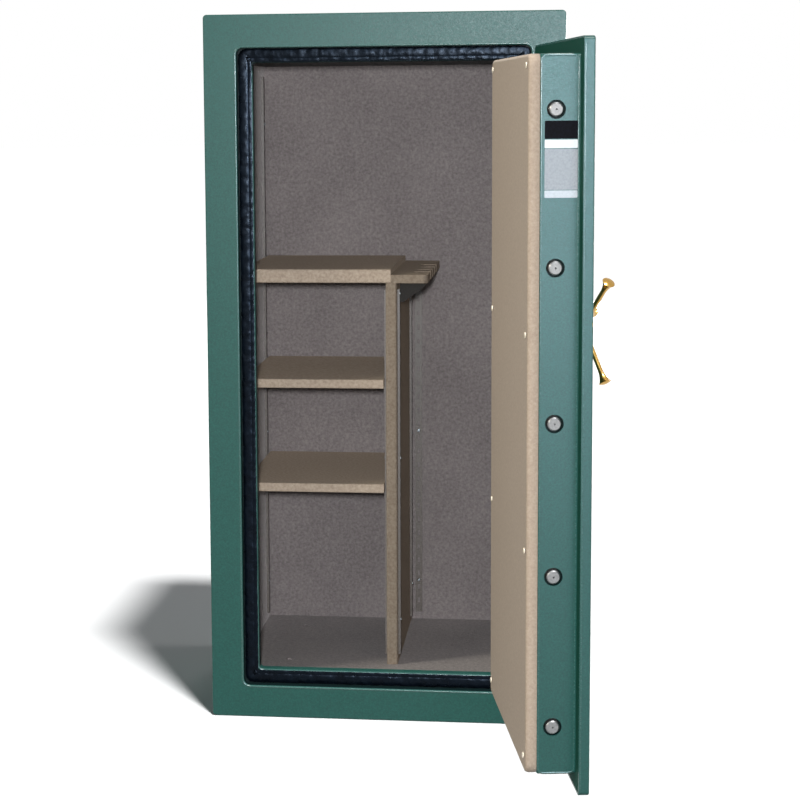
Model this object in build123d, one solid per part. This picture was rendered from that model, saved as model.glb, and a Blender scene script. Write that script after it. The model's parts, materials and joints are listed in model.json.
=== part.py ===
from build123d import *
import math
import os

# Gun safe, millimetres. X to the right, Y to the back, Z up.
# Every part is drawn with Y = 0 on the body's front face and the door shut,
# then moved so that the origin is the middle of the underside.

# Body
WIDTH = 762.0
HEIGHT = 1524.0
DEPTH = 584.0
SKIN = 3.0
CORNER_R = 8.0
MID_Z = HEIGHT / 2

# Door recess: border, step that carries the seal, lip that the bolts catch
BORDER = 70.0
OPENING_W = WIDTH - 2 * BORDER
OPENING_H = HEIGHT - 2 * BORDER
OPENING_R = 10.0
STEP_W = 31.0
STEP_Y = 24.0
LIP_W = OPENING_W - 2 * STEP_W
LIP_H = OPENING_H - 2 * STEP_W
LIP_Y = 49.0
LIP_R = 8.0
SEAL_W = 29.0
SEAL_T = 3.4
SEAL_INSET = 1.0

# Walls and lining
LINER = 8.0
SIDE_BOARD = 40.0
INNER_X = WIDTH / 2 - SKIN - SIDE_BOARD - LINER
BACK_Y = DEPTH - SKIN - SIDE_BOARD - LINER
FLOOR_DROP = 9.0
CEILING_RISE = 1.0
FLOOR_Z = BORDER + STEP_W - FLOOR_DROP
CEILING_Z = HEIGHT - BORDER - STEP_W + CEILING_RISE
ANCHOR_R = 7.0
ANCHOR_X = 230.0
ANCHOR_Y = 150.0

# Door
DOOR_GAP = 4.0
PLATE_W = OPENING_W - 2 * DOOR_GAP
PLATE_H = OPENING_H - 2 * DOOR_GAP
PLATE_T = 20.0
PLATE_R = 8.0
FACE_T = 4.0
SHEET = 3.0
BOX_GAP_X = 11.0
BOX_GAP_Z = 3.0
BOX_W = LIP_W - 2 * BOX_GAP_X
BOX_H = LIP_H - 2 * BOX_GAP_Z
BOX_BACK = 92.0
BOX_R = 6.0
BOX_FLANGE = 30.0
BOX_BOARD = 12.0
PANEL_T = 21.0
PANEL_R = 15.0
PANEL_EDGE = 6.0
BOARD_BACK = PLATE_T + BOX_BOARD
BOX_BOTTOM = MID_Z - BOX_H / 2

# Hinges
KNUCKLE_R = 11.0
KNUCKLE_H = 59.0
KNUCKLE_GAP = 1.0
HINGE_INSET = 37.0
HINGE_X = WIDTH / 2 - HINGE_INSET
HINGE_Y = -KNUCKLE_R - KNUCKLE_GAP
HINGE_END = 230.0
HINGE_Z = (HINGE_END, MID_Z, HEIGHT - HINGE_END)
OPEN_DEG = 99.0
BEARING_T = 2.0
PIN_R = 6.0
PIN_L = 80.0
LEAF_T = 6.0
LEAF_EDGE = 5.0
LEAF_GAP = 0.6
DOOR_LEAF_W = 62.0
FIT = 0.05

# Locking bolts and the carriage that carries them
BOLT_R = 12.5
BOLT_HOLE_R = 17.0
BOLT_PITCH = 282.0
BOLT_END = 90.0
BOLT_COUNT = int((BOX_H - 2 * BOLT_END) // BOLT_PITCH) + 1
BOLT_FIRST_Z = BOX_BOTTOM + BOLT_END
BOLT_Y = 63.0
BOLT_PROUD = 4.0
BOLT_LENGTH = 83.0
BOLT_CHAMFER = 2.0
BOLT_CENTRE_R = 3.2
BOLT_TRAVEL = 27.0
BOLT_TIP_X = -BOX_W / 2 - BOLT_PROUD
BAR_T = 8.0
STUD_R = 5.0
NUT_R = 9.0
NUT_T = 8.0
BAR_X = BOLT_TIP_X + BOLT_LENGTH
BOLT_Z = [BOLT_FIRST_Z + BOLT_PITCH * i for i in range(BOLT_COUNT)]

# Handle
HANDLE_Z = 906.0
SPINDLE_R = 9.5
BUSHING_R = 14.0
HUB_R = 24.0
HUB_OUT = 53.0
HUB_BORE = 44.0
SPOKE_REACH = 117.5
SPOKE_ROOT_OUT = 32.0
SPOKE_TIP_OUT = 70.0
SPOKE_ANGLES = (52.0, -68.0, 172.0)
SPOKE_R = 4.9
SPOKE_FLARE_R = 12.5
SPOKE_DOME_R = 26.0
HANDLE_SWING = 80.0
CAM_Y = 35.0
CAM_T = 7.0
CAM_PIN_R = 5.0
CAM_REACH = BOLT_TRAVEL / 2 / math.sin(math.radians(HANDLE_SWING / 2))
DRIVE_Y = 43.5
DRIVE_T = 6.0
DRIVE_END = 42.0
CARRIAGE_HALF = 23.0
CARRIAGE_END = 40.0
GUIDE_BACK = 37.0
GUIDE_T = 6.0
GUIDE_FOOT = 26.0
GUIDE_END = 60.0
SIDE_BAR_W = 16.0
SIDE_BAR_GAP = 6.0
SIDE_BAR_END = 108.0

# Combination lock
DIAL_Z = 1140.0
DIAL_R = 39.0
DIAL_SPINDLE_R = 4.0
TUBE_R = 6.0
RING_R = 48.0
HARD_T = 5.0
CASE_FRONT = BOARD_BACK + HARD_T
CASE_T = 28.0
CASE_W = 64.0
CASE_LOW = 54.0
CASE_HIGH = 36.0
WHEEL_R = 21.0
LOCK_BOLT_W = 20.0
LOCK_BOLT_T = 8.0
LOCK_BOLT_L = 26.0
LOCK_BOLT_Y = 48.0
LOCK_THROW = 9.0
LOCK_GAP = 0.1
HARD_LEFT = 70.0
HARD_RIGHT = 90.0
HARD_EDGE = 10.0
BLOCKER_END = 54.0
BLOCKER_H = 26.0
NOTCH_GAP = 1.0
BLOCK_L = 40.0
RELOCKER_X = 62.0
RELOCKER_HALF = 16.0
RELOCKER_T = 22.0
RELOCKER_LOW = 20.0
RELOCKER_HIGH = 16.0
KNOB_R = 19.0
FLUTE_COUNT = 24
FLUTE_R = 1.4

# Inside
FRONT_Y = 120.0
DIVIDER_X = -6.0
DIVIDER_T = 24.0
SHELF_T = 20.0
TOP_SHELF_T = 30.0
REST_T = 18.0
REST_X = 86.0
STANDARD_W = 16.0
STANDARD_D = 5.0
STANDARD_T = 1.2
STANDARD_Z = FLOOR_Z + 18.0
STANDARD_FRONT = 30.0
STANDARD_BACK = 43.0
STANDARD_Y = (FRONT_Y + STANDARD_FRONT, BACK_Y - STANDARD_BACK)
SLOT_PITCH = 33.3
SLOT_H = 12.0
SLOT_W = 5.0
CLIP_T = 1.6
SLOT_TO_SEAT = 8.0
SEAT_LOW_SLOT = 11
SEAT_SLOTS = (SEAT_LOW_SLOT, SEAT_LOW_SLOT + 7, SEAT_LOW_SLOT + 14)
SEAT_TOP_Z = 946.0
FIRST_SLOT_Z = SEAT_TOP_Z - SLOT_TO_SEAT - SEAT_SLOTS[2] * SLOT_PITCH
NOTCH_R = 13.0
NOTCH_X = REST_X - 24.0
NOTCH_PITCH = 65.0
NOTCH_FRONT = 90.0
NOTCH_BACK = 100.0
NOTCH_FIRST = FRONT_Y + NOTCH_FRONT
NOTCH_LAST = BACK_Y - NOTCH_BACK
NOTCH_COUNT = int((NOTCH_LAST - NOTCH_FIRST) // NOTCH_PITCH) + 1
NOTCH_Y = [NOTCH_FIRST + NOTCH_PITCH * i for i in range(NOTCH_COUNT)]
BUTTON_R = 6.0
BUTTON_FOOT = 30.0
BUTTON_HEAD = 20.0
BUTTON_SIDE = 23.0
BUTTON_RISES = (416.0, 813.0)
BUTTON_Z = [BOX_BOTTOM + BUTTON_FOOT]
BUTTON_Z += [BOX_BOTTOM + rise for rise in BUTTON_RISES]
BUTTON_Z += [BOX_BOTTOM + BOX_H - BUTTON_HEAD]


def slab(x0, x1, y0, y1, z0, z1):
    centre = Pos((x0 + x1) / 2, (y0 + y1) / 2, (z0 + z1) / 2)
    return centre * Box(x1 - x0, y1 - y0, z1 - z0)


def plate(width, height, y0, y1, radius, x=0.0, z=MID_Z):
    """Upright plate with rounded corners between two depths."""
    plane = Plane(origin=(x, y1, z), x_dir=(1, 0, 0), z_dir=(0, -1, 0))
    return extrude(plane * RectangleRounded(width, height, radius), y1 - y0)


def rod(x, z, y0, y1, radius):
    """Round bar along Y."""
    return Pos(x, (y0 + y1) / 2, z) * Rot(90, 0, 0) * Cylinder(radius, y1 - y0)


def cross_rod(x0, x1, y, z, radius):
    """Round bar along X."""
    return Pos((x0 + x1) / 2, y, z) * Rot(0, 90, 0) * Cylinder(radius, x1 - x0)


def turned(profile, x, z):
    """Solid of revolution about an axis along -Y; profile is (radius, distance out)."""
    wire = Polyline(*[(r, out) for r, out in profile], close=True)
    solid = revolve(make_face(wire), Axis.Y)
    return Pos(x, 0, z) * Rot(0, 0, 180) * solid


def front_edges(part):
    return part.edges().group_by(Axis.Y)[0]


def back_edges(part):
    return part.edges().group_by(Axis.Y)[-1]


# ---------------------------------------------------------------- body

def make_outer_shell():
    shell = plate(WIDTH, HEIGHT, SKIN, DEPTH - SKIN, CORNER_R)
    shell -= plate(WIDTH - 2 * SKIN, HEIGHT - 2 * SKIN, SKIN, DEPTH - SKIN, CORNER_R - SKIN)
    return shell - anchor_holes()


def anchor_holes():
    holes = []
    for x in (-ANCHOR_X, ANCHOR_X):
        for y in (-ANCHOR_Y, ANCHOR_Y):
            holes.append(Pos(x, DEPTH / 2 + y, FLOOR_Z / 2) * Cylinder(ANCHOR_R, FLOOR_Z + 2))
    return Part() + holes


def make_back_plate():
    back = plate(WIDTH, HEIGHT, DEPTH - SKIN, DEPTH, CORNER_R)
    return fillet(back_edges(back), 2)


def make_front_frame():
    frame = plate(WIDTH, HEIGHT, 0, SKIN, CORNER_R)
    frame += plate(OPENING_W + 2 * SKIN, OPENING_H + 2 * SKIN, SKIN, STEP_Y + SKIN, OPENING_R + SKIN)
    frame += plate(LIP_W + 2 * SKIN, LIP_H + 2 * SKIN, STEP_Y + SKIN, LIP_Y, LIP_R + SKIN)
    frame -= plate(OPENING_W, OPENING_H, -1, STEP_Y, OPENING_R)
    frame -= plate(LIP_W, LIP_H, -1, LIP_Y + 1, LIP_R)
    return fillet(front_edges(frame), 2.4)


def make_side_fireboard(side):
    inner = WIDTH / 2 - SKIN - SIDE_BOARD
    outer = WIDTH / 2 - SKIN
    low, high = sorted((side * inner, side * outer))
    board = slab(low, high, SKIN, DEPTH - SKIN, SKIN, HEIGHT - SKIN)
    return board & plate(WIDTH - 2 * SKIN, HEIGHT - 2 * SKIN, SKIN, DEPTH - SKIN, CORNER_R - SKIN)


def make_floor_fireboard():
    inner = WIDTH / 2 - SKIN - SIDE_BOARD
    board = slab(-inner, inner, STEP_Y + SKIN, DEPTH - SKIN, SKIN, FLOOR_Z - LINER)
    return board - anchor_holes()


def make_top_fireboard():
    inner = WIDTH / 2 - SKIN - SIDE_BOARD
    return slab(-inner, inner, STEP_Y + SKIN, DEPTH - SKIN, CEILING_Z + LINER, HEIGHT - SKIN)


def make_back_fireboard():
    inner = WIDTH / 2 - SKIN - SIDE_BOARD
    return slab(-inner, inner, BACK_Y + LINER, DEPTH - SKIN, FLOOR_Z - LINER, CEILING_Z + LINER)


def make_side_liner(side):
    low, high = sorted((side * INNER_X, side * (INNER_X + LINER)))
    return slab(low, high, STEP_Y + SKIN, BACK_Y, FLOOR_Z, CEILING_Z)


def make_floor_liner():
    half = INNER_X + LINER
    liner = slab(-half, half, STEP_Y + SKIN, BACK_Y, FLOOR_Z - LINER, FLOOR_Z)
    return liner - anchor_holes()


def make_ceiling_liner():
    half = INNER_X + LINER
    return slab(-half, half, LIP_Y, BACK_Y, CEILING_Z, CEILING_Z + LINER)


def make_back_liner():
    half = INNER_X + LINER
    return slab(-half, half, BACK_Y, BACK_Y + LINER, FLOOR_Z - LINER, CEILING_Z + LINER)


def make_door_seal():
    outer_w = OPENING_W - 2 * SEAL_INSET
    outer_h = OPENING_H - 2 * SEAL_INSET
    seal = plate(outer_w, outer_h, STEP_Y - SEAL_T, STEP_Y, OPENING_R)
    seal -= plate(outer_w - 2 * SEAL_W, outer_h - 2 * SEAL_W, 0, STEP_Y, LIP_R)
    return fillet(front_edges(seal), 1.4)


def standard(z_top):
    """Slotted channel standing on X = 0 with its slotted face at X = STANDARD_D."""
    half = STANDARD_W / 2
    strip = slab(0, STANDARD_D, -half, half, STANDARD_Z, z_top)
    hollow = half - STANDARD_T
    strip -= slab(0, STANDARD_D - STANDARD_T, -hollow, hollow, STANDARD_Z, z_top)
    first = math.ceil((STANDARD_Z + SLOT_H - FIRST_SLOT_Z) / SLOT_PITCH)
    last = math.floor((z_top - SLOT_H - FIRST_SLOT_Z) / SLOT_PITCH)
    slots = Part()
    plane = Plane(origin=(STANDARD_D + 1, 0, 0), x_dir=(0, 1, 0), z_dir=(-1, 0, 0))
    outline = Sketch()
    for i in range(first, last + 1):
        outline += Pos(0, -(FIRST_SLOT_Z + i * SLOT_PITCH)) * Rectangle(SLOT_W, SLOT_H)
    slots = extrude(plane * outline, STANDARD_T + 1.5)
    return strip - slots


def make_wall_standards():
    tall = standard(CEILING_Z - 24)
    return Compound([Pos(-INNER_X, y, 0) * tall for y in STANDARD_Y])


def make_divider_standards():
    short = standard(SEAT_TOP_Z - 16)
    left = [Pos(DIVIDER_X, y, 0) * Rot(0, 0, 180) * short for y in STANDARD_Y]
    right = [Pos(DIVIDER_X + DIVIDER_T, y, 0) * short for y in STANDARD_Y]
    return Compound(left + right)


def make_back_standard():
    x = DIVIDER_X + DIVIDER_T + 18
    return Pos(x, BACK_Y, 0) * Rot(0, 0, -90) * standard(SEAT_TOP_Z - 16)


def make_divider():
    board = slab(DIVIDER_X, DIVIDER_X + DIVIDER_T, FRONT_Y, BACK_Y, FLOOR_Z, SEAT_TOP_Z)
    return fillet(front_edges(board).filter_by(Axis.Z), 4)


def seat_z(slot):
    return FIRST_SLOT_Z + slot * SLOT_PITCH + SLOT_TO_SEAT


def make_shelf(slot):
    left = -INNER_X + STANDARD_D + 0.5
    right = DIVIDER_X - STANDARD_D - 0.5
    shelf = slab(left, right, FRONT_Y, BACK_Y - 1, seat_z(slot), seat_z(slot) + SHELF_T)
    return fillet(front_edges(shelf).filter_by(Axis.X), 3)


def make_top_shelf():
    left = -INNER_X + STANDARD_D + 0.5
    right = DIVIDER_X + DIVIDER_T / 2 - 1
    shelf = slab(left, right, FRONT_Y, BACK_Y - 1, SEAT_TOP_Z, SEAT_TOP_Z + TOP_SHELF_T)
    return fillet(front_edges(shelf).filter_by(Axis.X), 4)


def make_barrel_rest():
    left = DIVIDER_X + DIVIDER_T / 2 - 1
    rest = slab(left, REST_X, FRONT_Y, BACK_Y - 1, SEAT_TOP_Z, SEAT_TOP_Z + REST_T)
    rest = fillet(rest.edges().filter_by(Axis.Z).sort_by(Axis.Y)[:2].sort_by(Axis.X)[-1], 12)
    for y in NOTCH_Y:
        rest -= Pos(NOTCH_X, y, SEAT_TOP_Z + REST_T / 2) * Cylinder(NOTCH_R, REST_T + 2)
        rest -= slab(NOTCH_X, REST_X + 1, y - NOTCH_R, y + NOTCH_R, SEAT_TOP_Z - 1, SEAT_TOP_Z + REST_T + 1)
    return rest


def clip():
    """Shelf clip on a standard: X = 0 is the slotted face, Z = 0 the shelf seat."""
    tab = slab(0, CLIP_T, -6, 6, -18, 0)
    tongue = slab(0, 18, -6, 6, -CLIP_T, 0)
    hook = slab(-3, 0, -1.5, 1.5, -SLOT_TO_SEAT - 3, -SLOT_TO_SEAT + 3)
    return tab + tongue + hook


def make_shelf_clips():
    clips = []
    for y in STANDARD_Y:
        for slot in SEAT_SLOTS:
            clips.append(Pos(-INNER_X + STANDARD_D, y, seat_z(slot)) * clip())
        for slot in SEAT_SLOTS[:2]:
            clips.append(Pos(DIVIDER_X - STANDARD_D, y, seat_z(slot)) * Rot(0, 0, 180) * clip())
    return Compound(clips)


def make_rest_brackets():
    face = DIVIDER_X + DIVIDER_T + STANDARD_D
    brackets = []
    for y in STANDARD_Y:
        plane = Plane(origin=(face, y + 1.5, SEAT_TOP_Z), x_dir=(1, 0, 0), z_dir=(0, -1, 0))
        outline = make_face(Polyline((0, 0), (56, 0), (56, -8), (8, -44), (0, -44), close=True))
        web = extrude(plane * outline, 3)
        top = slab(face, face + 56, y - 7, y + 7, SEAT_TOP_Z - 2, SEAT_TOP_Z)
        hook = slab(face - 3, face, y - 1.5, y + 1.5, SEAT_TOP_Z - SLOT_PITCH - 11, SEAT_TOP_Z - SLOT_PITCH - 5)
        brackets.append(web + top + hook)
    return Compound(brackets)


def make_body_knuckles():
    knuckles = []
    for z in HINGE_Z:
        low = z - BEARING_T / 2 - KNUCKLE_H
        barrel = Pos(HINGE_X, HINGE_Y, low + KNUCKLE_H / 2) * Cylinder(KNUCKLE_R, KNUCKLE_H)
        barrel = fillet(barrel.edges().group_by(Axis.Z)[0], 3)
        leaf = slab(HINGE_X, WIDTH / 2 - LEAF_EDGE, -LEAF_T, 0, low + 4, low + KNUCKLE_H - 1)
        bore = Pos(HINGE_X, HINGE_Y, z - PIN_L / 4) * Cylinder(PIN_R + FIT, PIN_L / 2 + BEARING_T)
        knuckles.append(barrel + leaf - bore)
    return Compound(knuckles)


def make_hinge_pins():
    pin = Cylinder(PIN_R, PIN_L)
    return Compound([Pos(HINGE_X, HINGE_Y, z - BEARING_T / 2) * pin for z in HINGE_Z])


def make_hinge_bearings():
    washer = Cylinder(KNUCKLE_R - 0.5, BEARING_T) - Cylinder(PIN_R + FIT, BEARING_T + 1)
    return Compound([Pos(HINGE_X, HINGE_Y, z) * washer for z in HINGE_Z])


# ---------------------------------------------------------------- door

def spindle_holes(part, y0, y1):
    part -= rod(0, HANDLE_Z, y0, y1, BUSHING_R + LOCK_GAP)
    part -= rod(0, DIAL_Z, y0, y1, TUBE_R + LOCK_GAP)
    return part


def make_door_skin():
    pan = plate(PLATE_W, PLATE_H, 0, PLATE_T, PLATE_R)
    pan = fillet(front_edges(pan), 3)
    pan -= plate(PLATE_W - 2 * SHEET, PLATE_H - 2 * SHEET, FACE_T, PLATE_T, PLATE_R - SHEET)
    return spindle_holes(pan, -1, FACE_T + 1)


def make_door_fireboard():
    board = plate(PLATE_W - 2 * SHEET, PLATE_H - 2 * SHEET, FACE_T, PLATE_T - SHEET, PLATE_R - SHEET)
    return spindle_holes(board, 0, PLATE_T)


def make_door_back_sheet():
    sheet = plate(PLATE_W - 2 * SHEET, PLATE_H - 2 * SHEET, PLATE_T - SHEET, PLATE_T, PLATE_R - SHEET)
    return spindle_holes(sheet, 0, PLATE_T + 1)


def make_bolt_box():
    box = plate(BOX_W, BOX_H, PLATE_T, BOX_BACK, BOX_R)
    box = fillet(back_edges(box), 4)
    box -= plate(BOX_W - 2 * SHEET, BOX_H - 2 * SHEET, PLATE_T, BOX_BACK - SHEET, BOX_R - SHEET)
    box -= plate(BOX_W - 2 * SHEET - 2 * BOX_FLANGE, BOX_H - 2 * SHEET - 2 * BOX_FLANGE, PLATE_T, BOX_BACK, 3)
    for z in BOLT_Z:
        box -= cross_rod(-BOX_W / 2 - 1, -BOX_W / 2 + SHEET + 1, BOLT_Y, z, BOLT_HOLE_R)
    return box


def make_box_fireboard():
    board = plate(BOX_W - 2 * SHEET, BOX_H - 2 * SHEET, PLATE_T, BOARD_BACK, BOX_R - SHEET)
    return spindle_holes(board, PLATE_T - 1, BOARD_BACK + 1)


def make_hinge_side_bar():
    x = BOX_W / 2
    half = BOX_H / 2 - SIDE_BAR_END
    y0 = LIP_Y + SIDE_BAR_GAP
    bar = slab(x, x + SIDE_BAR_W, y0, y0 + SIDE_BAR_W, MID_Z - half, MID_Z + half)
    return chamfer(bar.edges().filter_by(Axis.Z).group_by(Axis.X)[-1], 2)


def make_bolt_guide():
    x = BOLT_TIP_X + GUIDE_BACK
    low = BOLT_Z[0] - GUIDE_END
    high = BOLT_Z[-1] + GUIDE_END
    guide = slab(x, x + GUIDE_T, BOARD_BACK, BOLT_Y + 20, low, high)
    guide += slab(x, x + GUIDE_FOOT, BOARD_BACK, BOARD_BACK + 4, low, high)
    for z in BOLT_Z:
        guide -= cross_rod(x - 1, x + GUIDE_T + 1, BOLT_Y, z, BOLT_R + FIT)
    return guide


def make_door_panel():
    panel = plate(BOX_W, BOX_H, BOX_BACK, BOX_BACK + PANEL_T, PANEL_R)
    return fillet(back_edges(panel), PANEL_EDGE)


def make_panel_buttons():
    face = BOX_BACK + PANEL_T
    x = BOX_W / 2 - BUTTON_SIDE
    buttons = []
    for side in (-x, x):
        for z in BUTTON_Z:
            head = rod(side, z, face, face + 2.4, BUTTON_R)
            buttons.append(fillet(back_edges(head), 1.6))
    return Compound(buttons)


def make_door_knuckles():
    knuckles = []
    for z in HINGE_Z:
        low = z + BEARING_T / 2
        high = low + KNUCKLE_H
        barrel = Pos(HINGE_X, HINGE_Y, low + KNUCKLE_H / 2) * Cylinder(KNUCKLE_R, KNUCKLE_H)
        barrel = fillet(barrel.edges().group_by(Axis.Z)[-1], 3)
        x0 = PLATE_W / 2 - DOOR_LEAF_W
        leaf = slab(x0, HINGE_X, -LEAF_T - LEAF_GAP, -LEAF_GAP, low + 1, high - 4)
        leaf += slab(x0, PLATE_W / 2 - 4, -LEAF_GAP, 0, low + 1, high - 4)
        bore = Pos(HINGE_X, HINGE_Y, z + PIN_L / 4) * Cylinder(PIN_R + FIT, PIN_L / 2 + BEARING_T)
        knuckles.append(barrel + leaf - bore)
    return Compound(knuckles)


def make_hard_plate():
    low = DIAL_Z - CASE_LOW - HARD_EDGE
    high = DIAL_Z + CASE_HIGH + HARD_EDGE
    hard = slab(-HARD_LEFT, HARD_RIGHT, BOARD_BACK, CASE_FRONT, low, high)
    return hard - rod(0, DIAL_Z, BOARD_BACK - 1, CASE_FRONT + 1, TUBE_R + LOCK_GAP)


def make_lock_case():
    back = CASE_FRONT + CASE_T
    half = CASE_W / 2
    case = slab(-half, half, CASE_FRONT, back, DIAL_Z - CASE_LOW, DIAL_Z + CASE_HIGH)
    case = fillet(case.edges().filter_by(Axis.Y), 5)
    case -= rod(0, DIAL_Z, CASE_FRONT + 4, back, WHEEL_R + 3)
    case -= rod(0, DIAL_Z, CASE_FRONT - 1, CASE_FRONT + 5, DIAL_SPINDLE_R + LOCK_GAP)
    side = LOCK_BOLT_W / 2 + LOCK_GAP
    top = DIAL_Z - CASE_LOW + LOCK_BOLT_L + 2
    y0 = LOCK_BOLT_Y - LOCK_GAP
    y1 = LOCK_BOLT_Y + LOCK_BOLT_T + LOCK_GAP
    return case - slab(-side, side, y0, y1, DIAL_Z - CASE_LOW - 1, top)


def make_lock_cover():
    back = CASE_FRONT + CASE_T
    half = CASE_W / 2
    cover = slab(-half, half, back, back + 2.5, DIAL_Z - CASE_LOW, DIAL_Z + CASE_HIGH)
    cover = fillet(cover.edges().filter_by(Axis.Y), 5)
    for x in (-half + 8, half - 8):
        for z in (DIAL_Z - CASE_LOW + 8, DIAL_Z + CASE_HIGH - 8):
            cover += rod(x, z, back + 2.5, back + 5, 3.5)
    return cover


def make_lock_bolt():
    half = LOCK_BOLT_W / 2
    low = DIAL_Z - CASE_LOW + 1
    bolt = slab(-half, half, LOCK_BOLT_Y, LOCK_BOLT_Y + LOCK_BOLT_T, low, low + LOCK_BOLT_L)
    return chamfer(bolt.edges().filter_by(Axis.Y).group_by(Axis.Z)[0], 1)


def make_relocker():
    low = DIAL_Z - RELOCKER_LOW
    x0 = RELOCKER_X - RELOCKER_HALF
    x1 = RELOCKER_X + RELOCKER_HALF
    block = slab(x0, x1, CASE_FRONT, CASE_FRONT + RELOCKER_T, low, DIAL_Z + RELOCKER_HIGH)
    block = fillet(block.edges().filter_by(Axis.Y), 3)
    return block + Pos(RELOCKER_X, CASE_FRONT + RELOCKER_T / 2, low - 7) * Cylinder(5, 14)


def make_spindle_tube():
    tube = rod(0, DIAL_Z, 0, CASE_FRONT, TUBE_R)
    return tube - rod(0, DIAL_Z, -1, CASE_FRONT + 1, DIAL_SPINDLE_R + LOCK_GAP)


def make_dial_ring():
    profile = [(DIAL_SPINDLE_R + 1, 0), (RING_R, 0), (RING_R, 5), (RING_R - 3, 9), (RING_R - 7, 9)]
    profile += [(DIAL_R + 1, 6), (DIAL_R + 1, 3), (DIAL_SPINDLE_R + 1, 3)]
    return turned(profile, 0, DIAL_Z)


def make_dial():
    profile = [(DIAL_SPINDLE_R + FIT, 3.4), (DIAL_R, 3.4), (DIAL_R, 6), (DIAL_R - 11, 12)]
    profile += [(24, 13), (24, 15), (DIAL_SPINDLE_R + FIT, 15)]
    return turned(profile, 0, DIAL_Z)


def make_dial_knob():
    profile = [(DIAL_SPINDLE_R + FIT, 15), (21, 15), (KNOB_R, 17), (KNOB_R, 33), (KNOB_R - 3, 36), (0, 37)]
    profile += [(0, 28), (DIAL_SPINDLE_R + FIT, 28)]
    knob = turned(profile, 0, DIAL_Z)
    flutes = []
    for i in range(FLUTE_COUNT):
        angle = 2 * math.pi * i / FLUTE_COUNT
        x = (KNOB_R + 0.5) * math.cos(angle)
        z = DIAL_Z + (KNOB_R + 0.5) * math.sin(angle)
        flutes.append(rod(x, z, -38, -17.5, FLUTE_R))
    return knob - (Part() + flutes)


def make_dial_spindle():
    return rod(0, DIAL_Z, -28, CASE_FRONT + CASE_T - 2, DIAL_SPINDLE_R)


def make_wheel_pack():
    wheels = []
    for i in range(4):
        y0 = CASE_FRONT + 6 + 5 * i
        wheel = rod(0, DIAL_Z, y0, y0 + 3, WHEEL_R)
        wheel -= rod(0, DIAL_Z, y0 - 1, y0 + 4, DIAL_SPINDLE_R + FIT)
        gate = slab(-3, 3, y0 - 1, y0 + 4, DIAL_Z + WHEEL_R - 6, DIAL_Z + WHEEL_R + 1)
        turn = Pos(0, 0, DIAL_Z) * Rot(0, 70.0 * i, 0) * Pos(0, 0, -DIAL_Z)
        wheels.append(wheel - turn * gate)
    return Compound(wheels)


def make_handle_escutcheon():
    profile = [(SPINDLE_R + FIT, -34), (BUSHING_R, -34), (BUSHING_R, 0), (37, 0), (37, 3)]
    profile += [(30, 7), (24, 8), (24, 12), (SPINDLE_R + FIT, 12)]
    return turned(profile, 0, HANDLE_Z)


# ---------------------------------------------------------------- handle

def make_handle_hub():
    profile = [(SPINDLE_R + FIT, 12.5), (22, 12.5), (22, 16), (18, 20), (18, 24), (HUB_R - 1, 28)]
    profile += [(HUB_R, 30), (HUB_R, HUB_OUT - 7), (HUB_R - 4, HUB_OUT - 3), (10, HUB_OUT - 1)]
    profile += [(0, HUB_OUT), (0, HUB_BORE), (SPINDLE_R + FIT, HUB_BORE)]
    return turned(profile, 0, HANDLE_Z)


def spoke_bar():
    """Spoke along +X from the hub's axis: waist, bell flare and domed end."""
    length = math.hypot(SPOKE_REACH, SPOKE_TIP_OUT - SPOKE_ROOT_OUT)
    root = HUB_R - 6
    flare = length - 4
    dome_x = flare - math.sqrt(SPOKE_DOME_R**2 - SPOKE_FLARE_R**2)
    dome_y = SPOKE_FLARE_R / 2
    outline = Spline(
        (root, 6.4), (46, 5.2), (length - 38, SPOKE_R), (length - 16, 7.0), (flare, SPOKE_FLARE_R),
        tangents=[(1, -0.08), (1, 0.7)],
    )
    tip = (dome_x + SPOKE_DOME_R, 0)
    mid = (dome_x + math.sqrt(SPOKE_DOME_R**2 - dome_y**2), dome_y)
    cap = ThreePointArc((flare, SPOKE_FLARE_R), mid, tip)
    base = Polyline(tip, (root, 0), (root, 6.4))
    return revolve(make_face(outline + cap + base), Axis.X)


def make_handle_spokes():
    tilt = math.degrees(math.atan2(SPOKE_TIP_OUT - SPOKE_ROOT_OUT, SPOKE_REACH))
    seat = Pos(0, -SPOKE_ROOT_OUT, 0) * Rot(90, 0, 0) * Cylinder(HUB_R, 60)
    leaning = Pos(0, -SPOKE_ROOT_OUT, 0) * Rot(0, 0, -tilt) * spoke_bar() - seat
    # Angles run from the latch edge upwards, seen from the front.
    turns = [Rot(0, 180 + angle, 0) for angle in SPOKE_ANGLES]
    return Pos(0, 0, HANDLE_Z) * Compound([turn * leaning for turn in turns])


def make_handle_spindle():
    return rod(0, HANDLE_Z, -HUB_BORE, CAM_Y + CAM_T, SPINDLE_R)


def cam_pin_at(turn_deg):
    angle = math.radians(HANDLE_SWING / 2 - turn_deg)
    return CAM_REACH * math.sin(angle), HANDLE_Z + CAM_REACH * math.cos(angle)


def make_handle_cam():
    x, z = cam_pin_at(0)
    back = CAM_Y + CAM_T
    cam = rod(0, HANDLE_Z, CAM_Y, back, 17)
    cam += rod(x, z, CAM_Y, back, 10)
    cam += rod(x, z, back, DRIVE_Y + DRIVE_T + 1, CAM_PIN_R)
    return cam - rod(0, HANDLE_Z, CAM_Y - 1, back + 1, SPINDLE_R + FIT)


# ---------------------------------------------------------------- bolt works

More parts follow.
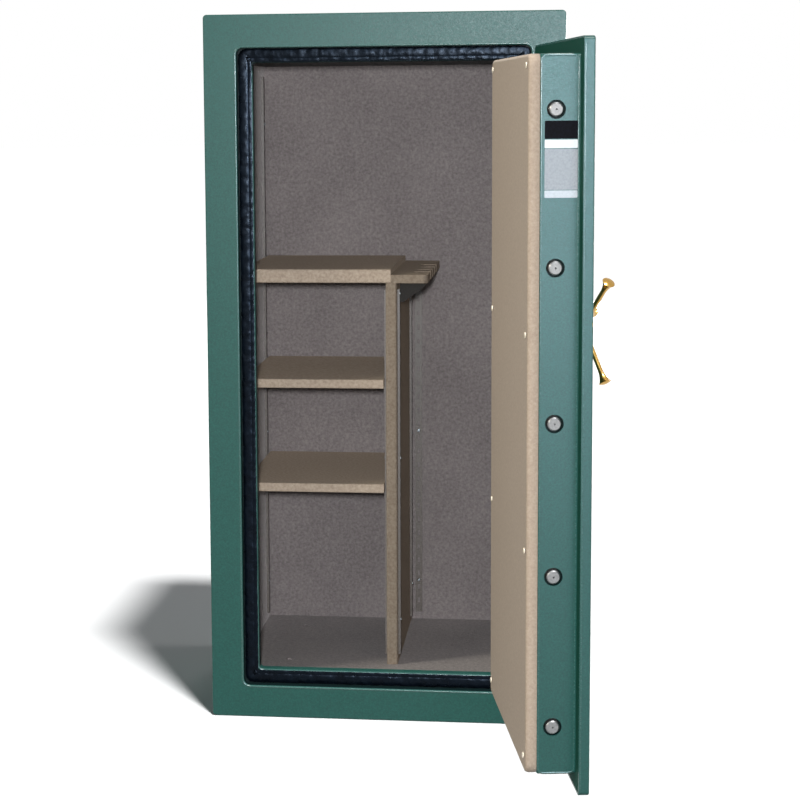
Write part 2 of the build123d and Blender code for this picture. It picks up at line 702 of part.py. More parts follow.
def make_locking_bolts():
    bolts = []
    for z in BOLT_Z:
        bolt = cross_rod(BOLT_TIP_X, BAR_X, BOLT_Y, z, BOLT_R)
        bolt = chamfer(bolt.edges().group_by(Axis.X)[0], BOLT_CHAMFER)
        bolt -= Pos(BOLT_TIP_X, BOLT_Y, z) * Rot(0, 90, 0) * Cone(BOLT_CENTRE_R, 0.4, 2 * BOLT_CENTRE_R)
        bolts.append(bolt + cross_rod(BAR_X, BAR_X + BAR_T + NUT_T + 3, BOLT_Y, z, STUD_R))
    return Compound(bolts)


def make_bolt_nuts():
    nuts = []
    for z in BOLT_Z:
        plane = Plane(origin=(BAR_X + BAR_T, BOLT_Y, z), x_dir=(0, 1, 0), z_dir=(1, 0, 0))
        nut = extrude(plane * RegularPolygon(NUT_R, 6), NUT_T)
        nuts.append(nut - cross_rod(BAR_X, BAR_X + 30, BOLT_Y, z, STUD_R + FIT))
    return Compound(nuts)


def make_carriage_bar():
    y0 = BOLT_Y - CARRIAGE_HALF
    y1 = BOLT_Y + CARRIAGE_HALF
    bar = slab(BAR_X, BAR_X + BAR_T, y0, y1, BOLT_Z[0] - CARRIAGE_END, BOLT_Z[-1] + CARRIAGE_END)
    for z in BOLT_Z:
        bar -= cross_rod(BAR_X - 1, BAR_X + BAR_T + 1, BOLT_Y, z, STUD_R + FIT)
    return bar


def make_drive_bar():
    x, z = cam_pin_at(0)
    crest = HANDLE_Z + CAM_REACH
    bar = slab(BAR_X + BAR_T, DRIVE_END, DRIVE_Y, DRIVE_Y + DRIVE_T, HANDLE_Z + 2, crest + 18)
    width = CAM_PIN_R + 0.6
    y0 = DRIVE_Y - 1
    y1 = DRIVE_Y + DRIVE_T + 1
    bar -= slab(x - width, x + width, y0, y1, z - 1, crest + 1)
    bar -= rod(x, z - 1, y0, y1, width)
    return bar - rod(x, crest + 1, y0, y1, width)


def notch_floor():
    return DIAL_Z - CASE_LOW - 1 - LOCK_THROW - NOTCH_GAP


def make_blocker_bar():
    y1 = LOCK_BOLT_Y + LOCK_BOLT_T
    top = notch_floor()
    return slab(BAR_X + BAR_T, BLOCKER_END, LOCK_BOLT_Y, y1, top - BLOCKER_H + LOCK_THROW + NOTCH_GAP, top)


def make_blocker_blocks():
    """Blocks welded on the bar; the lock bolt drops between them with the bolts out or in."""
    half = LOCK_BOLT_W / 2 + NOTCH_GAP
    y1 = LOCK_BOLT_Y + LOCK_BOLT_T
    low = notch_floor()
    high = low + LOCK_THROW + NOTCH_GAP
    spans = [(-half - BLOCK_L, -half), (half, BOLT_TRAVEL - half), (BOLT_TRAVEL + half, BLOCKER_END)]
    blocks = [slab(x0, x1, LOCK_BOLT_Y, y1, low, high) for x0, x1 in spans]
    return Compound(blocks)


# ---------------------------------------------------------------- writing

OPEN_DOOR = Pos(HINGE_X, HINGE_Y, 0) * Rot(0, 0, OPEN_DEG) * Pos(-HINGE_X, -HINGE_Y, 0)
TO_ORIGIN = Pos(0, -DEPTH / 2, 0)

BODY_PARTS = {
    "outer_shell": make_outer_shell(),
    "back_plate": make_back_plate(),
    "front_frame": make_front_frame(),
    "left_fireboard": make_side_fireboard(-1),
    "right_fireboard": make_side_fireboard(1),
    "floor_fireboard": make_floor_fireboard(),
    "top_fireboard": make_top_fireboard(),
    "back_fireboard": make_back_fireboard(),
    "left_liner": make_side_liner(-1),
    "right_liner": make_side_liner(1),
    "floor_liner": make_floor_liner(),
    "ceiling_liner": make_ceiling_liner(),
    "back_liner": make_back_liner(),
    "door_seal": make_door_seal(),
    "wall_standards": make_wall_standards(),
    "divider_standards": make_divider_standards(),
    "back_standard": make_back_standard(),
    "divider": make_divider(),
    "top_shelf": make_top_shelf(),
    "middle_shelf": make_shelf(SEAT_SLOTS[1]),
    "lower_shelf": make_shelf(SEAT_SLOTS[0]),
    "shelf_clips": make_shelf_clips(),
    "barrel_rest": make_barrel_rest(),
    "barrel_rest_brackets": make_rest_brackets(),
    "hinge_body_knuckles": make_body_knuckles(),
    "hinge_pins": make_hinge_pins(),
    "hinge_bearings": make_hinge_bearings(),
}

DOOR_PARTS = {
    "door_skin": make_door_skin(),
    "door_fireboard": make_door_fireboard(),
    "door_back_sheet": make_door_back_sheet(),
    "bolt_box": make_bolt_box(),
    "box_fireboard": make_box_fireboard(),
    "hinge_side_bar": make_hinge_side_bar(),
    "bolt_guide": make_bolt_guide(),
    "door_panel": make_door_panel(),
    "panel_buttons": make_panel_buttons(),
    "hinge_door_knuckles": make_door_knuckles(),
    "hard_plate": make_hard_plate(),
    "lock_case": make_lock_case(),
    "lock_cover": make_lock_cover(),
    "lock_bolt": make_lock_bolt(),
    "relocker": make_relocker(),
    "spindle_tube": make_spindle_tube(),
    "dial_ring": make_dial_ring(),
    "dial": make_dial(),
    "dial_knob": make_dial_knob(),
    "dial_spindle": make_dial_spindle(),
    "wheel_pack": make_wheel_pack(),
    "handle_escutcheon": make_handle_escutcheon(),
    "handle_hub": make_handle_hub(),
    "handle_spokes": make_handle_spokes(),
    "handle_spindle": make_handle_spindle(),
    "handle_cam": make_handle_cam(),
    "locking_bolts": make_locking_bolts(),
    "bolt_nuts": make_bolt_nuts(),
    "carriage_bar": make_carriage_bar(),
    "drive_bar": make_drive_bar(),
    "blocker_bar": make_blocker_bar(),
    "blocker_blocks": make_blocker_blocks(),
}

os.makedirs("parts", exist_ok=True)
for name, part in BODY_PARTS.items():
    export_step(TO_ORIGIN * part, f"parts/{name}.step")
for name, part in DOOR_PARTS.items():
    export_step(TO_ORIGIN * OPEN_DOOR * part, f"parts/{name}.step")
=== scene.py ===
import json
import math

import bmesh
import bpy
from mathutils import Matrix, Vector, noise

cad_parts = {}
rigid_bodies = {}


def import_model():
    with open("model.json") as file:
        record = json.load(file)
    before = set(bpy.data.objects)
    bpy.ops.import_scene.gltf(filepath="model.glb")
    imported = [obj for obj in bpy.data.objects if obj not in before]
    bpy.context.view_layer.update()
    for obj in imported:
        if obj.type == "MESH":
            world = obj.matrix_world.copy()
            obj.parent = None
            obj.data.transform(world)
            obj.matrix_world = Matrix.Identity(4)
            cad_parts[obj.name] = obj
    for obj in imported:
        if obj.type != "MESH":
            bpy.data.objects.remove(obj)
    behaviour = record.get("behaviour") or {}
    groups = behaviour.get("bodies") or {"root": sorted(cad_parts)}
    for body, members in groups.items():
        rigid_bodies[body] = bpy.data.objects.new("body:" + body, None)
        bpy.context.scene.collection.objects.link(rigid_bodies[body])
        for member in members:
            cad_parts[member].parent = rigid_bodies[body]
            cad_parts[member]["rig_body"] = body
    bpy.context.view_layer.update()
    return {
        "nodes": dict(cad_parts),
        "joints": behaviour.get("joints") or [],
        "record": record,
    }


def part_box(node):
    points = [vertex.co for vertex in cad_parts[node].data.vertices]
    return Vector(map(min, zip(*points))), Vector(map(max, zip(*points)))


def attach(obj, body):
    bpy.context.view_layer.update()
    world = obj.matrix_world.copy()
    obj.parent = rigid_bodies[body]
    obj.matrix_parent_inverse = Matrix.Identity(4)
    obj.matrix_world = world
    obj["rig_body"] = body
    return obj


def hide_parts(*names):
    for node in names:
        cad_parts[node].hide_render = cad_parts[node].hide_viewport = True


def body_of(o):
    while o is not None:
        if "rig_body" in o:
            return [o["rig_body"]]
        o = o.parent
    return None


# The looks of a gun safe with its door open: finishes, trim and upholstery.
# Metres, Z up, -Y out of the front, origin under the middle of the body.

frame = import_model()
nodes = frame["nodes"]
joints = {joint["name"]: joint for joint in frame["joints"]}
MM = 0.001


# ---------------------------------------------------------------- places

def door_place():
    """Carries a point from its place with the door shut to its place at rest."""
    hinge = joints["door_hinge"]
    x, y, _ = hinge["pos_m"]
    post = Matrix.Translation((x, y, 0))
    return post @ Matrix.Rotation(DOOR_ANGLE, 4, "Z") @ post.inverted()


DOOR_ANGLE = math.radians(-joints["door_hinge"]["range_deg"][0])
DOOR = door_place()


def shut_box(node):
    """Lowest and highest corners of a door node with the door shut."""
    back = DOOR.inverted()
    corners = [back @ vertex.co for vertex in nodes[node].data.vertices]
    low = Vector([min(c[i] for c in corners) for i in range(3)])
    high = Vector([max(c[i] for c in corners) for i in range(3)])
    return low, high


# ---------------------------------------------------------------- finishes

def srgb(code):
    """Linear colour from an sRGB hex code."""
    values = [int(code[i:i + 2], 16) / 255 for i in (0, 2, 4)]
    linear = [v / 12.92 if v <= 0.04045 else ((v + 0.055) / 1.055) ** 2.4 for v in values]
    return (*linear, 1.0)


def add(tree, kind, settings, inputs):
    """Adds a node; inputs maps a socket's name or number to a value or to a socket."""
    node = tree.nodes.new(kind)
    for name, value in settings.items():
        if name == "stops":
            ramp = node.color_ramp
            while len(ramp.elements) < len(value):
                ramp.elements.new(0.5)
            for element, (position, colour) in zip(ramp.elements, value):
                element.position = position
                element.color = srgb(colour)
        else:
            setattr(node, name, value)
    for name, value in inputs.items():
        if isinstance(value, bpy.types.NodeSocket):
            tree.links.new(value, node.inputs[name])
        else:
            node.inputs[name].default_value = value
    return node


def base(name, colour, roughness, **sockets):
    """A new material: its tree, its Principled shader and the place on the object."""
    material = bpy.data.materials.new(name)
    material.use_nodes = True
    tree = material.node_tree
    shader = tree.nodes["Principled BSDF"]
    shader.inputs["Base Color"].default_value = srgb(colour)
    shader.inputs["Roughness"].default_value = roughness
    for socket, value in sockets.items():
        shader.inputs[socket.replace("_", " ")].default_value = value
    place = tree.nodes.new("ShaderNodeTexCoord").outputs["Object"]
    return material, tree, shader, place


def surface(tree, shader, shade, stops, gloss, rough, bumps):
    """Colour through the stops, roughness between two values, and bumps of (height, depth, strength)."""
    colour = add(tree, "ShaderNodeValToRGB", {"stops": stops}, {"Fac": shade})
    tree.links.new(colour.outputs["Color"], shader.inputs["Base Color"])
    polish = add(tree, "ShaderNodeMapRange", {}, {"Value": gloss, "From Min": 0.3, "From Max": 0.7,
                                                  "To Min": rough[0], "To Max": rough[1]})
    tree.links.new(polish.outputs["Result"], shader.inputs["Roughness"])
    normal = {}
    for height, depth, strength in bumps:
        bump = add(tree, "ShaderNodeBump", {}, {"Height": height, "Distance": depth, "Strength": strength, **normal})
        normal = {"Normal": bump.outputs["Normal"]}
    tree.links.new(normal["Normal"], shader.inputs["Normal"])


def textured_powder_coat():
    """Polyester powder baked to a fine pebbled skin: it breaks a highlight into a soft sheen."""
    material, tree, shader, place = base("textured_powder_coat", "124841", 0.42, Specular_IOR_Level=0.3)
    # Pebbles of about 1.6 mm, coarser than the real half millimetre so that they show.
    pebble = add(tree, "ShaderNodeTexVoronoi", {}, {"Vector": place, "Scale": 620})
    flow = add(tree, "ShaderNodeTexNoise", {}, {"Vector": place, "Scale": 210, "Detail": 3, "Roughness": 0.6})
    mottle = add(tree, "ShaderNodeTexNoise", {}, {"Vector": place, "Scale": 300, "Detail": 4, "Roughness": 0.7})
    surface(tree, shader, mottle.outputs["Fac"], [(0.34, "0F3F39"), (0.5, "124841"), (0.68, "175149")],
            flow.outputs["Fac"], (0.36, 0.46),
            [(pebble.outputs["Distance"], 0.2 * MM, 0.3), (flow.outputs["Fac"], 0.4 * MM, 0.2)])
    return material


def loop_carpet(name, middle, shades):
    """Needled polypropylene carpet glued to the walls: a broken grain of light and dark tufts."""
    material, tree, shader, place = base(name, middle, 0.95, Specular_IOR_Level=0.08, Sheen_Weight=0.2)
    tuft = add(tree, "ShaderNodeTexVoronoi", {}, {"Vector": place, "Scale": 360})
    patch = add(tree, "ShaderNodeTexNoise", {}, {"Vector": place, "Scale": 150, "Detail": 5, "Roughness": 0.75})
    wear = add(tree, "ShaderNodeTexNoise", {}, {"Vector": place, "Scale": 4, "Detail": 3, "Roughness": 0.6})
    shade = add(tree, "ShaderNodeMath", {"operation": "MULTIPLY_ADD"},
                {0: wear.outputs["Fac"], 1: 0.35, 2: patch.outputs["Fac"]})
    surface(tree, shader, shade.outputs[0], list(zip((0.42, 0.66, 0.92), shades)),
            patch.outputs["Fac"], (0.9, 1.0),
            [(tuft.outputs["Distance"], 1.0 * MM, 0.7), (patch.outputs["Fac"], 1.2 * MM, 0.5)])
    return material


def napped_cover():
    """Tan needle felt wrapped round the boards: matt, with a short nap that lightens the edges."""
    material, tree, shader, place = base("napped_cover", "9C8D7E", 0.92, Specular_IOR_Level=0.05, Sheen_Weight=0.15,
                                          Sheen_Tint=srgb("F4DEC8"))
    fibre = add(tree, "ShaderNodeTexVoronoi", {}, {"Vector": place, "Scale": 450})
    patch = add(tree, "ShaderNodeTexNoise", {}, {"Vector": place, "Scale": 170, "Detail": 5, "Roughness": 0.7})
    surface(tree, shader, patch.outputs["Fac"], [(0.34, "8E8073"), (0.5, "A09283"), (0.7, "AFA292")],
            patch.outputs["Fac"], (0.86, 0.98),
            [(fibre.outputs["Distance"], 0.5 * MM, 0.4), (patch.outputs["Fac"], 0.5 * MM, 0.25)])
    return material


def woven_cloth():
    """Plain-woven tan polyester drawn over the door panel: fine crossing threads, slightly slubbed."""
    material, tree, shader, place = base("woven_cloth", "B6A492", 0.85, Specular_IOR_Level=0.12, Sheen_Weight=0.15)
    # Threads 1.5 mm apart, twice the real pitch so that they show; the pattern turns with the door.
    turned = add(tree, "ShaderNodeMapping", {}, {"Vector": place, "Rotation": (0, 0, -DOOR_ANGLE)})
    thread = {"Vector": turned.outputs["Vector"], "Scale": 210, "Distortion": 0.5, "Detail": 1, "Detail Scale": 3}
    warp = add(tree, "ShaderNodeTexWave", {"bands_direction": "X"}, thread)
    weft = add(tree, "ShaderNodeTexWave", {"bands_direction": "Z"}, thread)
    weave = add(tree, "ShaderNodeMath", {"operation": "MULTIPLY"}, {0: warp.outputs["Fac"], 1: weft.outputs["Fac"]})
    slub = add(tree, "ShaderNodeTexNoise", {}, {"Vector": place, "Scale": 200, "Detail": 5, "Roughness": 0.7})
    shade = add(tree, "ShaderNodeMath", {"operation": "MULTIPLY_ADD"}, {0: weave.outputs[0], 1: 0.12, 2: slub.outputs["Fac"]})
    surface(tree, shader, shade.outputs[0], [(0.36, "AA9887"), (0.55, "B5A391"), (0.76, "C1B19F")],
            slub.outputs["Fac"], (0.8, 0.92),
            [(weave.outputs[0], 0.25 * MM, 0.35), (slub.outputs["Fac"], 0.2 * MM, 0.2)])
    return material


def moulded_seal():
    """Extruded black sealing strip with a glossy skin, crinkled where it was pressed on."""
    # Painted light: the blue tint of the seal's reflections stands for the colour of the light, not of the rubber.
    material, tree, shader, place = base("moulded_seal", "03060B", 0.3, Specular_IOR_Level=0.12,
                                          Specular_Tint=srgb("C0D4EE"))
    crease = add(tree, "ShaderNodeTexNoise", {}, {"Vector": place, "Scale": 60, "Detail": 3, "Roughness": 0.5})
    tone = add(tree, "ShaderNodeTexNoise", {}, {"Vector": place, "Scale": 40, "Detail": 3})
    surface(tree, shader, tone.outputs["Fac"], [(0.35, "020408"), (0.65, "060C14")],
            crease.outputs["Fac"], (0.22, 0.32), [(crease.outputs["Fac"], 1.2 * MM, 0.45)])
    return material


def metal(name, dark, light, rough, streaks, grit=250):
    """Bare metal: slow changes of tone, and tool marks drawn out along one axis that streak the shine."""
    material, tree, shader, place = base(name, light, rough[0], Metallic=1.0)
    along = add(tree, "ShaderNodeMapping", {}, {"Vector": place, "Scale": streaks})
    marks = add(tree, "ShaderNodeTexNoise", {}, {"Vector": along.outputs["Vector"], "Scale": 1, "Detail": 3, "Roughness": 0.6})
    tone = add(tree, "ShaderNodeTexNoise", {}, {"Vector": place, "Scale": grit, "Detail": 3, "Roughness": 0.6})
    surface(tree, shader, tone.outputs["Fac"], [(0.3, dark), (0.7, light)],
            marks.outputs["Fac"], rough, [(marks.outputs["Fac"], 0.04 * MM, 0.4)])
    return material


def coated(name, dark, light, rough, grain, depth, **sockets):
    """Paint, plastic or board with a small change of tone and a faint relief of the given grain."""
    material, tree, shader, place = base(name, light, rough[0], **sockets)
    speck = add(tree, "ShaderNodeTexNoise", {}, {"Vector": place, "Scale": 1 / grain, "Detail": 3, "Roughness": 0.6})
    surface(tree, shader, speck.outputs["Fac"], [(0.3, dark), (0.7, light)],
            speck.outputs["Fac"], rough, [(speck.outputs["Fac"], depth, 0.4)])
    return material


FINISHES = {
    "green_powder_coat": textured_powder_coat(),
    "taupe_carpet": loop_carpet("loop_carpet", "A09A9A", ("807A7A", "9F9899", "BEB6B6")),
    "carpeted_board": napped_cover(),
    "tan_panel_cloth": woven_cloth(),
    "black_seal_rubber": moulded_seal(),
    # Polished and lacquered brass: warm, nearly a mirror, with faint rubbing haze.
    "polished_brass": metal("polished_brass", "AD8645", "C6A05A", (0.14, 0.24), (900, 900, 900), 600),
    # Free-cutting brass as turned: duller, no polish.
    "lock_brass": metal("turned_brass", "8F6E37", "B99555", (0.28, 0.46), (700, 700, 120)),
    # Sintered bronze washers: matt and brown.
    "bearing_bronze": metal("sintered_bronze", "6E5230", "8E6D42", (0.34, 0.5), (400, 400, 400)),
    # Cold-rolled strip: mill grain along its length.
    "plain_steel": metal("cold_rolled_steel", "5E6062", "85878A", (0.3, 0.48), (900, 900, 60)),
    # Turned and chrome-plated bar: bright, with fine lathe rings across it.
    "bright_steel": metal("plated_bar", "7C7D7E", "8F9091", (0.36, 0.5), (60, 900, 60)),
    # Hardened plate, black oxide: dark and dry.
    "hardened_steel": metal("black_oxide_steel", "2E3033", "45484C", (0.4, 0.6), (300, 300, 300)),
    # Die-cast zinc: grey, faintly grainy skin.
    "lock_metal": metal("die_cast_zinc", "7C7E80", "9C9EA0", (0.38, 0.55), (500, 500, 500), 500),
    # Baked enamel on rolled steel channel: taupe, half gloss.
    "slotted_steel": coated("baked_enamel", "6B645F", "8A837D", (0.34, 0.5), 3 * MM, 0.1 * MM),
    # Primer coat left unglazed behind the box: dark green, dry.
    "dark_undercoat": coated("dry_primer", "0F3A31", "14463B", (0.7, 0.85), 3 * MM, 0.1 * MM, Specular_IOR_Level=0.08),
    # Gypsum board with a paper face: pale and dead matt.
    "fire_board": coated("paper_faced_gypsum", "BDB4A1", "DAD3C4", (0.85, 0.95), 4 * MM, 0.3 * MM),
    # Moulded ABS caps: cream, glossy.
    "cream_button": coated("moulded_abs", "D9CDB4", "EDE5D4", (0.2, 0.34), 4 * MM, 0.05 * MM),
    # Stoved black enamel under a clear lacquer: deep and glossy.
    "black_enamel": coated("stoved_enamel", "08080A", "141416", (0.16, 0.26), 6 * MM, 0.08 * MM,
                           Coat_Weight=0.4, Coat_Roughness=0.08),
}


# Painted shade: where the recess behind the front face lies in shade it is painted near-black, and the bolt guide takes
# the same painted shade for the dark gaps round the bolts.
RECESS_PAINTED_SHADE = coated("recess_painted_shade", "071516", "0B1F1F", (0.4, 0.55), 3 * MM, 0.1 * MM, Specular_IOR_Level=0.12)


# Painted shade: the rest's brackets take the standards' taupe enamel several shades darker, for the shade they stand in
# under the rest.
BRACKET_PAINTED_SHADE = coated("bracket_enamel_painted_shade", "2E2B28", "3B3733", (0.45, 0.6), 3 * MM, 0.1 * MM, Specular_IOR_Level=0.08)


# Painted shade: the roof lies in shade, so its lining takes a near-black carpet, and the inside ends in a dark line
# under the seal.
ROOF_PAINTED_SHADE_CARPET = loop_carpet("roof_carpet_painted_shade", "1F1D1E", ("161415", "1E1C1D", "282627"))


def dress_nodes():
    """Gives every CAD node the finish of its slot in the record, except where shade is painted: the roof lining, the
    bolt guide, the rest's brackets and the deep recess faces go dark.
    """
    for entry in frame["record"]["subparts"]:
        mesh = nodes[entry["node"]].data
        mesh.materials.clear()
        mesh.materials.append(FINISHES[entry["material_slot"]])
    # The roof lining, the bolt guide and the rest's brackets take dark finishes that stand for the shade they lie in:
    # painted shade.
    nodes["ceiling_liner"].data.materials[0] = ROOF_PAINTED_SHADE_CARPET
    nodes["bolt_guide"].data.materials[0] = RECESS_PAINTED_SHADE
    nodes["barrel_rest_brackets"].data.materials[0] = BRACKET_PAINTED_SHADE
    rim = nodes["front_frame"].data
    rim.materials.append(RECESS_PAINTED_SHADE)
    low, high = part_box("door_seal")
    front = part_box("front_frame")[0].y
    # Faces deep in the recess take the painted shade; the lip's upward faces, which light reaches, keep the green.
    for face in rim.polygons:
        deep = face.center.y > front + 2.6 * MM
        inside = low.x - 2 * MM < face.center.x < high.x + 2 * MM and low.z - 2 * MM < face.center.z < high.z + 2 * MM
        sill = face.normal.z > 0.5 and face.center.z > low.z + 15 * MM
        face.material_index = int(deep and inside and not sill)


# ---------------------------------------------------------------- making pieces

def link(name, data):
    obj = bpy.data.objects.new(name, data)
    bpy.context.scene.collection.objects.link(obj)
    return obj


def piece(name, mesh, slot, body, material=None, smooth=True):
    """A finished piece that rides on a body and takes the finish of a slot."""
    if isinstance(mesh, bmesh.types.BMesh):
        shape = mesh
        mesh = bpy.data.meshes.new(name)
        bmesh.ops.recalc_face_normals(shape, faces=shape.faces)
        shape.to_mesh(mesh)
        shape.free()
    mesh.materials.clear()
    mesh.materials.append(material or FINISHES[slot])
    mesh.polygons.foreach_set("use_smooth", [smooth] * len(mesh.polygons))
    obj = link(name, mesh)
    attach(obj, body)
    return obj


def grown(name, tree, values, start=None):
    """Mesh that a geometry tree makes from a start mesh and named values."""
    obj = link(name + "_maker", start or bpy.data.meshes.new(name))
    modifier = obj.modifiers.new(name, "NODES")
    modifier.node_group = tree
    sockets = {item.name: item.identifier for item in tree.interface.items_tree if item.in_out == "INPUT"}
    for key, value in values.items():
        modifier[sockets[key]] = value
    obj.update_tag()
    shown = obj.evaluated_get(bpy.context.evaluated_depsgraph_get())
    mesh = bpy.data.meshes.new_from_object(shown)
    mesh.name = name
    bpy.data.objects.remove(obj)
    return mesh


def new_tree(name, numbers):
    """Geometry tree with a start mesh, named number inputs and one output."""
    tree = bpy.data.node_groups.new(name, "GeometryNodeTree")
    tree.interface.new_socket("Geometry", in_out="INPUT", socket_type="NodeSocketGeometry")
    for key in numbers:
        tree.interface.new_socket(key, in_out="INPUT", socket_type="NodeSocketFloat")
    tree.interface.new_socket("Geometry", in_out="OUTPUT", socket_type="NodeSocketGeometry")
    return tree, tree.nodes.new("NodeGroupInput").outputs


def close_tree(tree, geometry, material):
    """Ends a tree in real geometry with its material set."""
    real = add(tree, "GeometryNodeRealizeInstances", {}, {"Geometry": geometry})
    done = add(tree, "GeometryNodeSetMaterial", {}, {"Geometry": real.outputs[0], "Material": material})
    add(tree, "NodeGroupOutput", {}, {0: done.outputs[0]})


# ---------------------------------------------------------------- door seal

def rounded_loop(tree, width, height, radius, step):
    """Rectangle with rounded corners in the XY plane, cut into even steps."""
    path = add(tree, "GeometryNodeCurvePrimitiveQuadrilateral", {}, {"Width": width, "Height": height})
    corner = add(tree, "GeometryNodeFilletCurve", {"mode": "POLY"}, {"Curve": path.outputs[0], "Radius": radius, "Count": 6})
    return add(tree, "GeometryNodeResampleCurve", {"mode": "LENGTH"}, {"Curve": corner.outputs[0], "Length": step}).outputs[0]


def swept(tree, path, wide, thick, aside):
    """Oval section of the given size, moved aside from the path and swept along it."""
    ring = add(tree, "GeometryNodeCurvePrimitiveCircle", {"mode": "RADIUS"}, {"Resolution": 18, "Radius": 0.5})
    size = add(tree, "ShaderNodeCombineXYZ", {}, {"X": wide, "Y": thick, "Z": 1.0})
    shift = add(tree, "ShaderNodeCombineXYZ", {}, {"X": aside})
    section = add(tree, "GeometryNodeTransform", {}, {"Geometry": ring.outputs[0], "Scale": size.outputs[0],
                                                      "Translation": shift.outputs[0]})
    return add(tree, "GeometryNodeCurveToMesh", {}, {"Curve": path, "Profile Curve": section.outputs[0]}).outputs[0]


def stood_up(mesh, middle):
    """Turns a flat loop to stand in the front plane about its middle."""
    mesh.transform(Matrix.Translation(middle) @ Matrix.Rotation(math.radians(90), 4, "X"))
    return mesh


def make_seal():
    """Sealing strip round the rebate: a bulb along the outside, a thin tail inside, its skin crumpled."""
    low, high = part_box("door_seal")
    names = ("Width", "Height", "Bulb", "Tail", "Thick", "Thin", "Out", "In", "Crumple")
    tree, given = new_tree("seal_strip", names)
    path = rounded_loop(tree, given["Width"], given["Height"], 0.3 * MM, 2.5 * MM)
    bulb = swept(tree, path, given["Bulb"], given["Thick"], given["Out"])
    tail = swept(tree, path, given["Tail"], given["Thin"], given["In"])
    both = tree.nodes.new("GeometryNodeJoinGeometry")
    tree.links.new(bulb, both.inputs[0])
    tree.links.new(tail, both.inputs[0])
    lump = add(tree, "ShaderNodeTexNoise", {}, {"Scale": 70.0, "Detail": 3.0, "Roughness": 0.5})
    centred = add(tree, "ShaderNodeMath", {"operation": "SUBTRACT"}, {0: lump.outputs["Fac"], 1: 0.66})
    push = add(tree, "ShaderNodeMath", {"operation": "MULTIPLY"}, {0: centred.outputs[0], 1: given["Crumple"]})
    normal = tree.nodes.new("GeometryNodeInputNormal")
    offset = add(tree, "ShaderNodeVectorMath", {"operation": "SCALE"}, {0: normal.outputs[0], "Scale": push.outputs[0]})
    moved = add(tree, "GeometryNodeSetPosition", {}, {"Geometry": both.outputs[0], "Offset": offset.outputs[0]})
    close_tree(tree, moved.outputs[0], FINISHES["black_seal_rubber"])
    strip, bulb_width, tail_width, thick = 29 * MM, 22 * MM, 11 * MM, high.y - low.y
    mesh = grown("door_seal_strip", tree, {
        "Width": high.x - low.x - strip, "Height": high.z - low.z - strip,
        "Bulb": bulb_width, "Tail": tail_width, "Thick": thick, "Thin": 0.6 * thick,
        "Out": (strip - bulb_width) / 2, "In": -(strip - tail_width) / 2, "Crumple": 2.4 * MM})
    strip = piece("door_seal_strip", stood_up(mesh, (low + high) / 2), "black_seal_rubber", "safe_body")
    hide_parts("door_seal")


def make_edge_beads():
    """Rolled edges of the steel, glossy and painted a green lighter than the body's as a painted highlight: round the
    door opening, round the lip inside it, round the latch side of the bolt box and round the back of the door plate."""
    # The lighter green is a painted highlight on top of the beads' real gloss and roundness.
    shine = coated("edge_bead_painted_highlight", "254F4A", "2F5D57", (0.2, 0.32), 2 * MM, 0.06 * MM, Specular_IOR_Level=0.5)
    tree, given = new_tree("rolled_edge", ("Width", "Height", "Corner", "Thick"))
    path = rounded_loop(tree, given["Width"], given["Height"], given["Corner"], 8 * MM)
    close_tree(tree, swept(tree, path, given["Thick"], given["Thick"], 0.0), shine)

    def bead(name, width, height, corner, thick, place, body):
        mesh = grown(name, tree, {"Width": width, "Height": height, "Corner": corner, "Thick": thick})
        mesh.transform(place @ Matrix.Rotation(math.radians(90), 4, "X"))
        return piece(name, mesh, "green_powder_coat", body, shine)

    low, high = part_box("door_seal")
    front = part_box("front_frame")[0].y
    # The strip stops 1 mm short of the opening; the lip stands 31 mm inside it, 24 mm back.
    opening, lip, inset = 1 * MM, -30 * MM, 2.4 * MM
    for name, grow, sink, thick, corner in (("opening_edge_bead", opening, 2.4 * MM, 6.0 * MM, 16 * MM),
                                            ("lip_edge_bead", lip, 26.2 * MM, 6.4 * MM, 9 * MM)):
        middle = Vector(((low.x + high.x) / 2, front + sink, (low.z + high.z) / 2))
        width, height = high.x - low.x + 2 * (grow + inset), high.z - low.z + 2 * (grow + inset)
        made = bead(name, width, height, corner, thick, Matrix.Translation(middle), "safe_body")
    # Painted shade: the lip bead's upper run takes the recess's near-black, standing for the shade under the seal.
    made.data.materials.append(RECESS_PAINTED_SHADE)
    for face in made.data.polygons:
        face.material_index = int(face.center.z > high.z - 36 * MM)

    thick, inset = 6 * MM, 2.75 * MM
    low, high = shut_box("bolt_box")
    middle = Vector((low.x + inset, (low.y + high.y) / 2, (low.z + high.z) / 2))
    side = DOOR @ Matrix.Translation(middle) @ Matrix.Rotation(math.radians(90), 4, "Z")
    bead("box_edge_bead", high.y - low.y - 2 * inset, high.z - low.z - 2 * inset, 6 * MM, thick, side, "door")
    low, high = shut_box("door_skin")
    middle = Vector(((low.x + high.x) / 2, high.y - inset, (low.z + high.z) / 2))
    bead("plate_edge_bead", high.x - low.x - 2 * inset, high.z - low.z - 2 * inset, 7 * MM, thick,
         DOOR @ Matrix.Translation(middle), "door")


# ---------------------------------------------------------------- door panel

